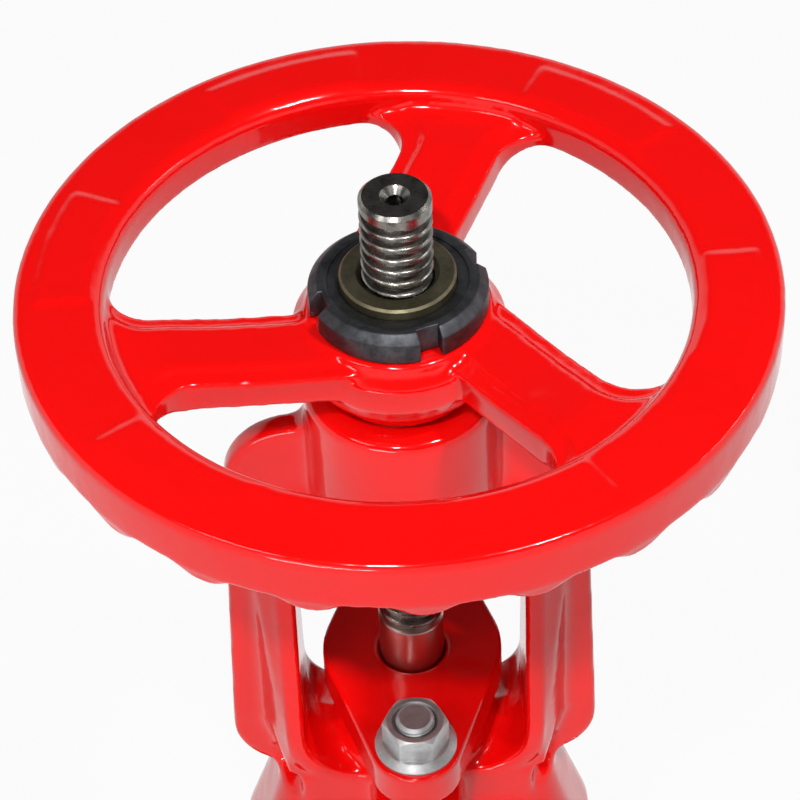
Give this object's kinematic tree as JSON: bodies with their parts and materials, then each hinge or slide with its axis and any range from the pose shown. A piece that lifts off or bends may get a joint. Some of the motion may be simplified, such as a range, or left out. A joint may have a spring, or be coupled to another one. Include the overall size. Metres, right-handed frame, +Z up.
{
  "type": "grooved gate valve",
  "caption": "Rising-stem gate valve with grooved pipe ends, a bolted bonnet with an open yoke, a gland follower and a spoked handwheel that raises the wedge.",
  "frame": {"origin": "under the middle of the cast foot, on the stem axis", "axes": "+Z up along the stem, Y along the pipe axis, X across the yoke legs"},
  "size_m": [0.254, 0.254, 0.571],
  "materials": {
    "red_enamel": "gloss",
    "gasket_rubber": "matte",
    "wedge_rubber": "satin",
    "stem_steel": "machined, oiled",
    "nut_brass": "machined, dull",
    "black_oxide_steel": "black oxide",
    "zinc_steel": "zinc plated"
  },
  "bodies": {
    "valve": {"body": "red_enamel", "bonnet": "red_enamel", "gland_follower": "red_enamel", "bonnet_gasket": "gasket_rubber", "gland_bolt_front": "zinc_steel", "gland_bolt_back": "zinc_steel", "gland_nut_front": "zinc_steel", "gland_nut_back": "zinc_steel", "bonnet_bolt_1": "zinc_steel", "bonnet_bolt_2": "zinc_steel", "bonnet_bolt_3": "zinc_steel", "bonnet_bolt_4": "zinc_steel", "bonnet_bolt_5": "zinc_steel", "bonnet_bolt_6": "zinc_steel", "bonnet_nut_1": "zinc_steel", "bonnet_nut_2": "zinc_steel", "bonnet_nut_3": "zinc_steel", "bonnet_nut_4": "zinc_steel", "bonnet_nut_5": "zinc_steel", "bonnet_nut_6": "zinc_steel"},
    "wheel": {"handwheel": "red_enamel", "lock_nut": "black_oxide_steel", "stem_nut": "nut_brass"},
    "stem": {"stem": "stem_steel", "wedge": "wedge_rubber"}
  },
  "joints": [
    {"name": "handwheel_turn", "type": "hinge", "parent": "valve", "child": "wheel", "pos_m": [0, 0, 0.507], "axis": [0, 0, 1], "range_deg": [0, 7560]},
    {"name": "stem_rise", "type": "slide", "parent": "valve", "child": "stem", "axis": [0, 0, 1], "range_m": [0, 0.105]}
  ],
  "couplings": [
    {"joint": "stem_rise", "follows": "handwheel_turn", "m_per_rad": 0.00079577}
  ]
}
